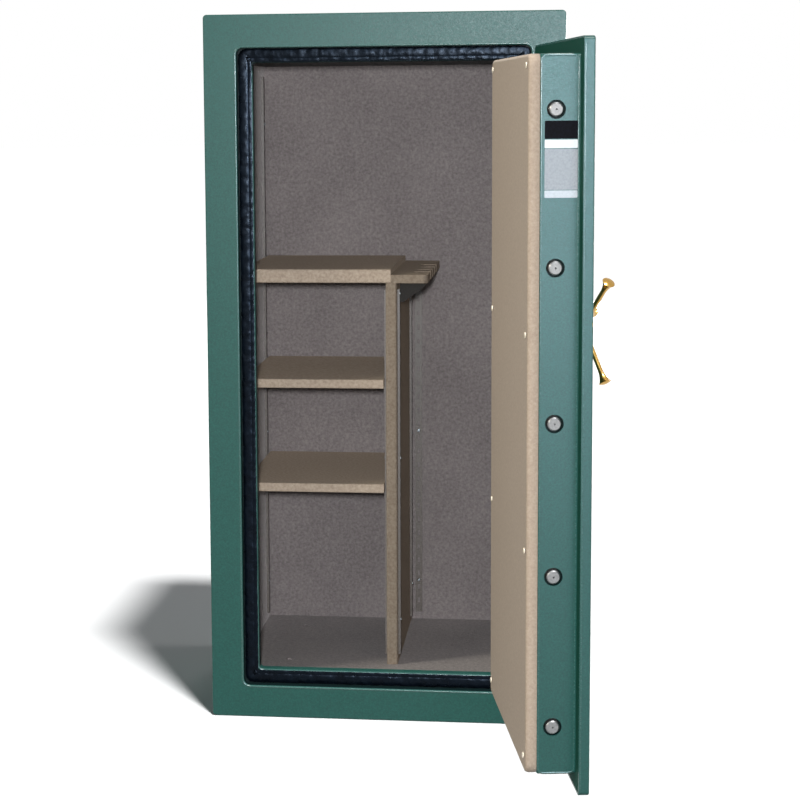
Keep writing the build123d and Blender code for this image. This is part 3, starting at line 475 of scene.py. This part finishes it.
def make_panel():
    """Upholstered board on the back of the door: soft rounded edges, drawn in a little at each button."""
    low, high = shut_box("door_panel")
    heads = [(x, z) for x in (-0.246, 0.246) for z in (0.134, 0.520, 0.917, 1.400)]
    centre = (low + high) / 2
    half_x, half_z = (high.x - low.x) / 2, (high.z - low.z) / 2
    corner, edge = 16 * MM, 7 * MM
    columns = panel_steps(half_x, edge)
    rows = panel_steps(half_z, edge)
    shape = bmesh.new()
    grid = []
    for z in rows:
        line = []
        for x in columns:
            px, pz = round_corner(x, z, half_x, half_z, corner)
            inset = min(half_x - abs(px), half_z - abs(pz), corner_inset(px, pz, half_x, half_z, corner))
            drop = edge - math.sqrt(max(edge**2 - max(edge - inset, 0) ** 2, 0))
            pull = sum(1.1 * MM * math.exp(-((centre.x + px - hx) ** 2 + (centre.z + pz - hz) ** 2) / (13 * MM) ** 2)
                       for hx, hz in heads)
            wave = 0.5 * MM * noise.noise(Vector((px * 6, 0, pz * 6)))
            ease = min(inset / (30 * MM), 1)
            line.append(shape.verts.new((centre.x + px, high.y - drop - pull - (0.6 * MM + wave) * ease * 0.8, centre.z + pz)))
        grid.append(line)
    for upper, lower in zip(grid[1:], grid):
        for i in range(len(columns) - 1):
            shape.faces.new((lower[i], lower[i + 1], upper[i + 1], upper[i]))
    rim = grid[0] + [line[-1] for line in grid[1:]] + grid[-1][-2::-1] + [line[0] for line in grid[-2:0:-1]]
    back = [shape.verts.new((v.co.x, low.y, v.co.z)) for v in rim]
    for i in range(len(rim)):
        j = (i + 1) % len(rim)
        shape.faces.new((rim[i], rim[j], back[j], back[i]))
    shape.faces.new(back)
    bmesh.ops.transform(shape, matrix=DOOR, verts=shape.verts)
    panel = piece("upholstered_panel", shape, "tan_panel_cloth", "door")
    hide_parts("door_panel")


def panel_steps(half, edge):
    """Grid lines from edge to edge, close together where the edge rolls over."""
    roll = [half - edge * (1 - math.sin(math.radians(a))) for a in (90, 72, 54, 36, 18, 0)]
    count = max(4, round((half - edge) / (9 * MM)))
    flat = [(half - edge) * (count - i) / count for i in range(1, count + 1)]
    side = roll + flat
    return [-v for v in side] + side[-2::-1]


def round_corner(x, z, half_x, half_z, radius):
    """Draws a point of a square corner in to the corner's arc."""
    dx, dz = abs(x) - (half_x - radius), abs(z) - (half_z - radius)
    if dx <= 0 or dz <= 0:
        return x, z
    pull = max(dx, dz) / math.hypot(dx, dz)
    return math.copysign(half_x - radius + dx * pull, x), math.copysign(half_z - radius + dz * pull, z)


def corner_inset(x, z, half_x, half_z, radius):
    dx, dz = abs(x) - (half_x - radius), abs(z) - (half_z - radius)
    return radius - math.hypot(dx, dz) if dx > 0 and dz > 0 else radius + half_x


# ---------------------------------------------------------------- bare plates

def bare_plate(name, y0, y1, z0, z1, slot, material):
    """Thin blank label with rounded corners on the latch side of the bolt box."""
    face = shut_box("bolt_box")[0].x
    thick, radius = 0.4 * MM, 1.5 * MM
    outline = []
    for cy, cz, start in ((y1 - radius, z1 - radius, 0), (y0 + radius, z1 - radius, 90),
                          (y0 + radius, z0 + radius, 180), (y1 - radius, z0 + radius, 270)):
        for step in range(0, 91, 18):
            a = math.radians(start + step)
            outline.append((cy + radius * math.cos(a), cz + radius * math.sin(a)))
    shape = bmesh.new()
    top = [shape.verts.new((face - thick, y, z)) for y, z in outline]
    foot = [shape.verts.new((face - 0.02 * MM, y, z)) for y, z in outline]
    shape.faces.new(top)
    shape.faces.new(foot[::-1])
    for i in range(len(top)):
        j = (i + 1) % len(top)
        shape.faces.new((top[i], foot[i], foot[j], top[j]))
    bmesh.ops.transform(shape, matrix=DOOR, verts=shape.verts)
    return piece(name, shape, slot, "door", material, smooth=False)


def make_plates():
    front = shut_box("bolt_box")[0].y
    y0, y1 = front + 4.5 * MM, front + 63.5 * MM
    # Black anodised foil, white vinyl and brushed silver foil, all left blank.
    black = coated("anodised_foil", "08090D", "10121A", (0.4, 0.5), 5 * MM, 0.05 * MM, Specular_IOR_Level=0.05)
    white = coated("white_vinyl", "C4C6C8", "D2D4D6", (0.4, 0.5), 5 * MM, 0.03 * MM)
    silver = coated("silver_foil", "7C8084", "979B9F", (0.4, 0.5), 4 * MM, 0.05 * MM, Specular_IOR_Level=0.3)
    bare_plate("upper_bare_plate", y0, y1, 1.270, 1.302, "black_enamel", black)
    bare_plate("narrow_bare_plate", y0, y1, 1.2535, 1.2685, "cream_button", white)
    bare_plate("tall_bare_plate", y0, y1, 1.1795, 1.252, "bright_steel", silver)
    pale = coated("pale_silver_foil", "9EA4A8", "B2B8BC", (0.4, 0.5), 4 * MM, 0.05 * MM)
    bare_plate("foot_bare_plate", y0, y1, 1.1655, 1.1785, "bright_steel", pale)


# ---------------------------------------------------------------- screws and dial marks

def copies_tree(material):
    """Tree that repeats its start mesh, each copy turned about Y and raised along Z from the one before."""
    tree, given = new_tree("copies", ("Count", "Turn", "Rise"))
    index = tree.nodes.new("GeometryNodeInputIndex").outputs[0]
    turn = add(tree, "ShaderNodeMath", {"operation": "MULTIPLY"}, {0: index, 1: given["Turn"]})
    rise = add(tree, "ShaderNodeMath", {"operation": "MULTIPLY"}, {0: index, 1: given["Rise"]})
    turned = add(tree, "ShaderNodeCombineXYZ", {}, {"Y": turn.outputs[0]})
    raised = add(tree, "ShaderNodeCombineXYZ", {}, {"Z": rise.outputs[0]})
    points = add(tree, "GeometryNodePoints", {}, {"Count": given["Count"], "Position": raised.outputs[0]})
    copies = add(tree, "GeometryNodeInstanceOnPoints", {}, {"Points": points.outputs[0], "Instance": given["Geometry"],
                                                            "Rotation": turned.outputs[0]})
    close_tree(tree, copies.outputs[0], material)
    return tree


def joined(name, meshes):
    """One mesh from several."""
    shape = bmesh.new()
    for mesh in meshes:
        shape.from_mesh(mesh)
    whole = bpy.data.meshes.new(name)
    shape.to_mesh(whole)
    shape.free()
    return whole


def prism(outline, x0, x1):
    """Closed prism along X over an outline of (y, z) points."""
    shape = bmesh.new()
    near = [shape.verts.new((x0, y, z)) for y, z in outline]
    far = [shape.verts.new((x1, y, z)) for y, z in outline]
    shape.faces.new(near)
    shape.faces.new(far[::-1])
    for i in range(len(near)):
        j = (i + 1) % len(near)
        shape.faces.new((near[i], far[i], far[j], near[j]))
    bmesh.ops.recalc_face_normals(shape, faces=shape.faces)
    mesh = bpy.data.meshes.new("prism")
    shape.to_mesh(mesh)
    shape.free()
    return mesh


def screw_head(radius, height):
    """Pan head with a cross recess, seated on X = 0 and facing +X."""
    shape = bmesh.new()
    around = 20
    rings = []
    for x, r in ((0, radius), (0.4 * height, radius), (0.75 * height, 0.82 * radius), (height, 0.5 * radius)):
        angles = [2 * math.pi * i / around for i in range(around)]
        rings.append([shape.verts.new((x, r * math.cos(a), r * math.sin(a))) for a in angles])
    for lower, upper in zip(rings, rings[1:]):
        for i in range(around):
            j = (i + 1) % around
            shape.faces.new((lower[i], lower[j], upper[j], upper[i]))
    shape.faces.new(rings[-1])
    shape.faces.new(rings[0][::-1])
    bmesh.ops.recalc_face_normals(shape, faces=shape.faces)
    head = bpy.data.meshes.new("head")
    shape.to_mesh(head)
    shape.free()
    arm, reach = 0.15 * radius, 0.62 * radius
    corners = [(arm, arm), (arm, reach), (-arm, reach), (-arm, arm)]
    outline = []
    for _ in range(4):
        outline += corners[:3]
        corners = [(-z, y) for y, z in corners]
    maker = link("head_maker", head)
    tool = link("recess_maker", prism(outline, 0.35 * height, 1.5 * height))
    cut = maker.modifiers.new("recess", "BOOLEAN")
    cut.object = tool
    mesh = bpy.data.meshes.new_from_object(maker.evaluated_get(bpy.context.evaluated_depsgraph_get()))
    bpy.data.objects.remove(maker)
    bpy.data.objects.remove(tool)
    return mesh


def make_screws():
    """Pan-head screws that hold the slotted standards, each half way between two slots."""
    zinc = metal("zinc_plated_screw", "7E8286", "B2B6B8", (0.3, 0.45), (500, 500, 500))
    tree = copies_tree(zinc)
    pitch, first, every = 33.3 * MM, 188.75 * MM, 11
    wall_low, wall_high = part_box("wall_standards")
    part_low, part_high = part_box("divider_standards")
    back_low, back_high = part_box("back_standard")
    half = 8 * MM
    east, west, south = 0, 180, -90
    rows = [(wall_high.x, y, east, 4) for y in (wall_low.y + half, wall_high.y - half)]
    rows += [(part_low.x, y, west, 3) for y in (part_low.y + half, part_high.y - half)]
    rows += [(part_high.x, y, east, 3) for y in (part_low.y + half, part_high.y - half)]
    rows += [((back_low.x + back_high.x) / 2, back_low.y, south, 3)]
    made = []
    for x, y, facing, count in rows:
        head = screw_head(3.6 * MM, 1.8 * MM)
        head.transform(Matrix.Rotation(math.radians(facing), 4, "Z"))
        row = grown("screw_row", tree, {"Count": count, "Rise": every * pitch}, head)
        row.transform(Matrix.Translation((x, y, first)))
        made.append(row)
    piece("standard_screws", joined("standard_screws", made), "bright_steel", "safe_body", zinc, smooth=False)


def make_dial_marks():
    """A hundred graduations and their tens in white enamel on the dial's cone, and the index on its ring."""
    white = coated("white_enamel", "E2E2DC", "F0F0EA", (0.3, 0.4), 3 * MM, 0.02 * MM)
    low, high = shut_box("dial")
    middle = Vector(((low.x + high.x) / 2, high.y, (low.z + high.z) / 2))
    rim = (high.z - low.z) / 2
    # The cone leaves the rim 2.6 mm in front of the dial's back and rises 6 mm over 11 mm of radius.
    edge, slope, lift = 2.6 * MM, 6 / 11, 0.12 * MM

    def cone_y(radius):
        return -edge - (rim - radius) * slope - lift

    def on_cone(width, inner, outer):
        """Thin bar lying on the cone above the axis, between two radii."""
        shape = bmesh.new()
        for depth in (0, 0.1 * MM):
            for radius in (inner, outer):
                for x in (-width / 2, width / 2):
                    shape.verts.new((x, cone_y(radius) + depth, radius))
        bmesh.ops.convex_hull(shape, input=shape.verts)
        mesh = bpy.data.meshes.new("bar")
        shape.to_mesh(mesh)
        shape.free()
        return mesh

    tree = copies_tree(white)
    marks = []
    for count, width, length in ((100, 0.45 * MM, 2.4 * MM), (20, 0.5 * MM, 3.4 * MM), (10, 0.8 * MM, 4.4 * MM)):
        bar = on_cone(width, rim - 0.6 * MM - length, rim - 0.6 * MM)
        marks.append(grown("marks", tree, {"Count": count, "Turn": 2 * math.pi / count}, bar))
    tilt = math.radians(90) - math.atan(slope)
    for tens in range(10):
        letters = bpy.data.curves.new("number", "FONT")
        letters.body = str(tens * 10)
        letters.size = 5.4 * MM
        letters.extrude = 0.05 * MM
        letters.align_x = "CENTER"
        letters.align_y = "CENTER"
        maker = link("number_maker", letters)
        number = bpy.data.meshes.new_from_object(maker.evaluated_get(bpy.context.evaluated_depsgraph_get()))
        bpy.data.objects.remove(maker)
        radius = rim - 8.3 * MM
        seat = Matrix.Translation((0, cone_y(radius), radius)) @ Matrix.Rotation(tilt, 4, "X")
        number.transform(Matrix.Rotation(tens * math.pi / 5, 4, "Y") @ seat)
        marks.append(number)
    whole = joined("dial_marks", marks)
    whole.transform(DOOR @ Matrix.Translation(middle))
    piece("dial_marks", whole, "black_enamel", "dial", white, smooth=False)

    ring_low, ring_high = shut_box("dial_ring")
    top = ring_high.z - middle.z
    outline = [(top - 3.2 * MM, -0.6 * MM), (top - 3.2 * MM, 0.6 * MM), (top - 6.8 * MM, 0.6 * MM), (top - 6.8 * MM, -0.6 * MM)]
    index = prism([(x, z) for z, x in outline], 0, 0.2 * MM)
    index.transform(Matrix.Rotation(math.radians(-90), 4, "Z"))
    index.transform(DOOR @ Matrix.Translation((middle.x, ring_low.y + 0.1 * MM, middle.z)))
    red = coated("red_enamel", "A3221A", "B52A20", (0.3, 0.4), 3 * MM, 0.02 * MM)
    piece("ring_index", index, "black_enamel", "door", red, smooth=False)


# ---------------------------------------------------------------- scene

def soft_light(name, place, target, size, power, colour="FFFFFF"):
    lamp = bpy.data.lights.new(name, "AREA")
    lamp.shape = "RECTANGLE"
    lamp.size, lamp.size_y = size
    lamp.energy = power
    lamp.color = srgb(colour)[:3]
    aim = (Vector(target) - Vector(place)).to_track_quat("-Z", "Y").to_matrix().to_4x4()
    obj = link(name, lamp)
    obj.matrix_world = Matrix.Translation(place) @ aim
    return obj


def make_lights():
    sun = bpy.data.lights.new("high_key", "SUN")
    sun.energy = 3.4
    sun.angle = math.radians(6)
    aim = Vector((-0.231, 0.400, -0.887)).to_track_quat("-Z", "Y").to_matrix().to_4x4()
    key = link("high_key", sun)
    key.matrix_world = aim
    lining = [name for name in nodes if name.endswith(("_liner", "_standards", "_brackets", "_standard", "_clips", "_rest", "_shelf", "divider"))]
    linked(key, "receiver_collection", [nodes[name] for name in lining], "EXCLUDE")
    on_the_door = [obj for obj in bpy.context.scene.objects
                   if obj.type == "MESH" and body_of(obj) not in (None, ["safe_body"])]
    linked(key, "blocker_collection", on_the_door, "EXCLUDE")
    front = soft_light("front", (0.3, -4.6, 1.45), (0.0, 0.0, 0.75), (0.15, 0.15), 84)
    unlit = [bpy.data.objects["floor"], nodes["ceiling_liner"]]
    linked(front, "receiver_collection", unlit, "EXCLUDE")
    left = soft_light("left_fill", (-4.0, -2.0, 3.0), (0.35, -0.5, 1.0), (1.2, 1.2), 108, "FFF9E6")
    linked(left, "receiver_collection", unlit, "EXCLUDE")
    soft_light("right_fill", (9.0, 1.6, 0.8), (0.35, 0.0, 0.8), (2.5, 2.5), 480)
    soft_light("back_fill", (1.5, 9.0, 0.8), (0.0, 0.3, 0.8), (2.5, 2.5), 420)
    inside = soft_light("inside_wash", (0.3, -4.55, 1.45), (-0.33, 0.4, 0.8), (0.2, 0.2), 300)
    linked(inside, "receiver_collection", [nodes["left_liner"]], "INCLUDE")
    linked(inside, "blocker_collection", on_the_door, "EXCLUDE")
    felted = ("top_shelf", "middle_shelf", "lower_shelf")
    boards = soft_light("board_wash", (0.3, -4.6, 1.12), (-0.1, 0.0, 0.8), (0.4, 0.4), 104)
    linked(boards, "receiver_collection", [nodes[name] for name in felted], "INCLUDE")
    # Two panels seen only as a sheen on glossy skins: they add nothing to matt surfaces.
    for panel in (soft_light("sky_panel", (1.9, -5.5, 2.35), (0.2, 0.0, 1.2), (4.2, 2.0), 430, "DDEFFF"),
                  soft_light("tall_panel", (2.1, -5.5, 1.0), (0.3, -0.5, 1.0), (1.2, 1.6), 125, "D4E6FF")):
        panel.visible_diffuse = False
        linked(panel, "receiver_collection", [nodes["locking_bolts"], bpy.data.objects["upper_bare_plate"]], "EXCLUDE")


def linked(lamp, part, objects, state):
    """Keeps a lamp's light on, or its shadows from, the given objects or takes it off them."""
    group = bpy.data.collections.new(lamp.name + "_" + part)
    setattr(lamp.light_linking, part, group)
    for obj in objects:
        group.objects.link(obj)
    for item in group.collection_objects:
        item.light_linking.link_state = state


def make_camera():
    yaw, pitch, roll = 0.1272, -0.1242, 0.0085
    turn = Matrix.Rotation(yaw, 3, "Z") @ Matrix.Rotation(pitch, 3, "X") @ Matrix.Rotation(roll, 3, "Y")
    right, ahead, up = turn.col[0], turn.col[1], turn.col[2]
    lens = bpy.data.cameras.new("Camera")
    lens.sensor_width = 36
    lens.lens = 90.87
    lens.shift_x = 0.1126
    lens.shift_y = -0.0536
    lens.clip_end = 100
    camera = link("Camera", lens)
    camera.matrix_world = Matrix.Translation((0.3861, -4.5492, 1.3331)) @ Matrix((right, up, -ahead)).transposed().to_4x4()
    bpy.context.scene.camera = camera


def seen(tree):
    """1 where a ray that shows the background arrives, 0 for the rays that only light the object."""
    rays = tree.nodes.new("ShaderNodeLightPath").outputs
    eye = add(tree, "ShaderNodeMath", {"operation": "MAXIMUM"}, {0: rays["Is Camera Ray"], 1: rays["Is Glossy Ray"]})
    return add(tree, "ShaderNodeMath", {"operation": "MAXIMUM"}, {0: eye.outputs[0], 1: rays["Is Transmission Ray"]}).outputs[0]


def make_floor():
    mesh = bpy.data.meshes.new("floor")
    mesh.from_pydata([(-60, -60, 0), (60, -60, 0), (60, 60, 0), (-60, 60, 0)], [], [(0, 1, 2, 3)])
    # Seamless white paper, matt; it throws little of its white back on the object.
    material, tree, shader, _ = base("seamless_paper", "F8F8F8", 0.95, Specular_IOR_Level=0.0)
    paper = add(tree, "ShaderNodeValToRGB", {"stops": [(0.0, "707070"), (1.0, "FFFFFF")]}, {"Fac": seen(tree)})
    tree.links.new(paper.outputs["Color"], shader.inputs["Base Color"])
    mesh.materials.append(material)
    link("floor", mesh)


def make_world():
    world = bpy.data.worlds.new("studio")
    world.use_nodes = True
    tree = world.node_tree
    tree.nodes.clear()
    room = add(tree, "ShaderNodeBackground", {}, {"Color": srgb("E6EAF0"), "Strength": 0.1})
    white = add(tree, "ShaderNodeBackground", {}, {"Color": (1, 1, 1, 1), "Strength": 1.0})
    mix = add(tree, "ShaderNodeMixShader", {}, {0: seen(tree), 1: room.outputs[0], 2: white.outputs[0]})
    add(tree, "ShaderNodeOutputWorld", {}, {"Surface": mix.outputs[0]})
    bpy.context.scene.world = world


bpy.context.scene.view_settings.view_transform = "Standard"
make_camera()
make_world()
make_floor()
dress_nodes()
make_seal()
make_edge_beads()
make_panel()
make_plates()
make_screws()
make_dial_marks()
make_lights()
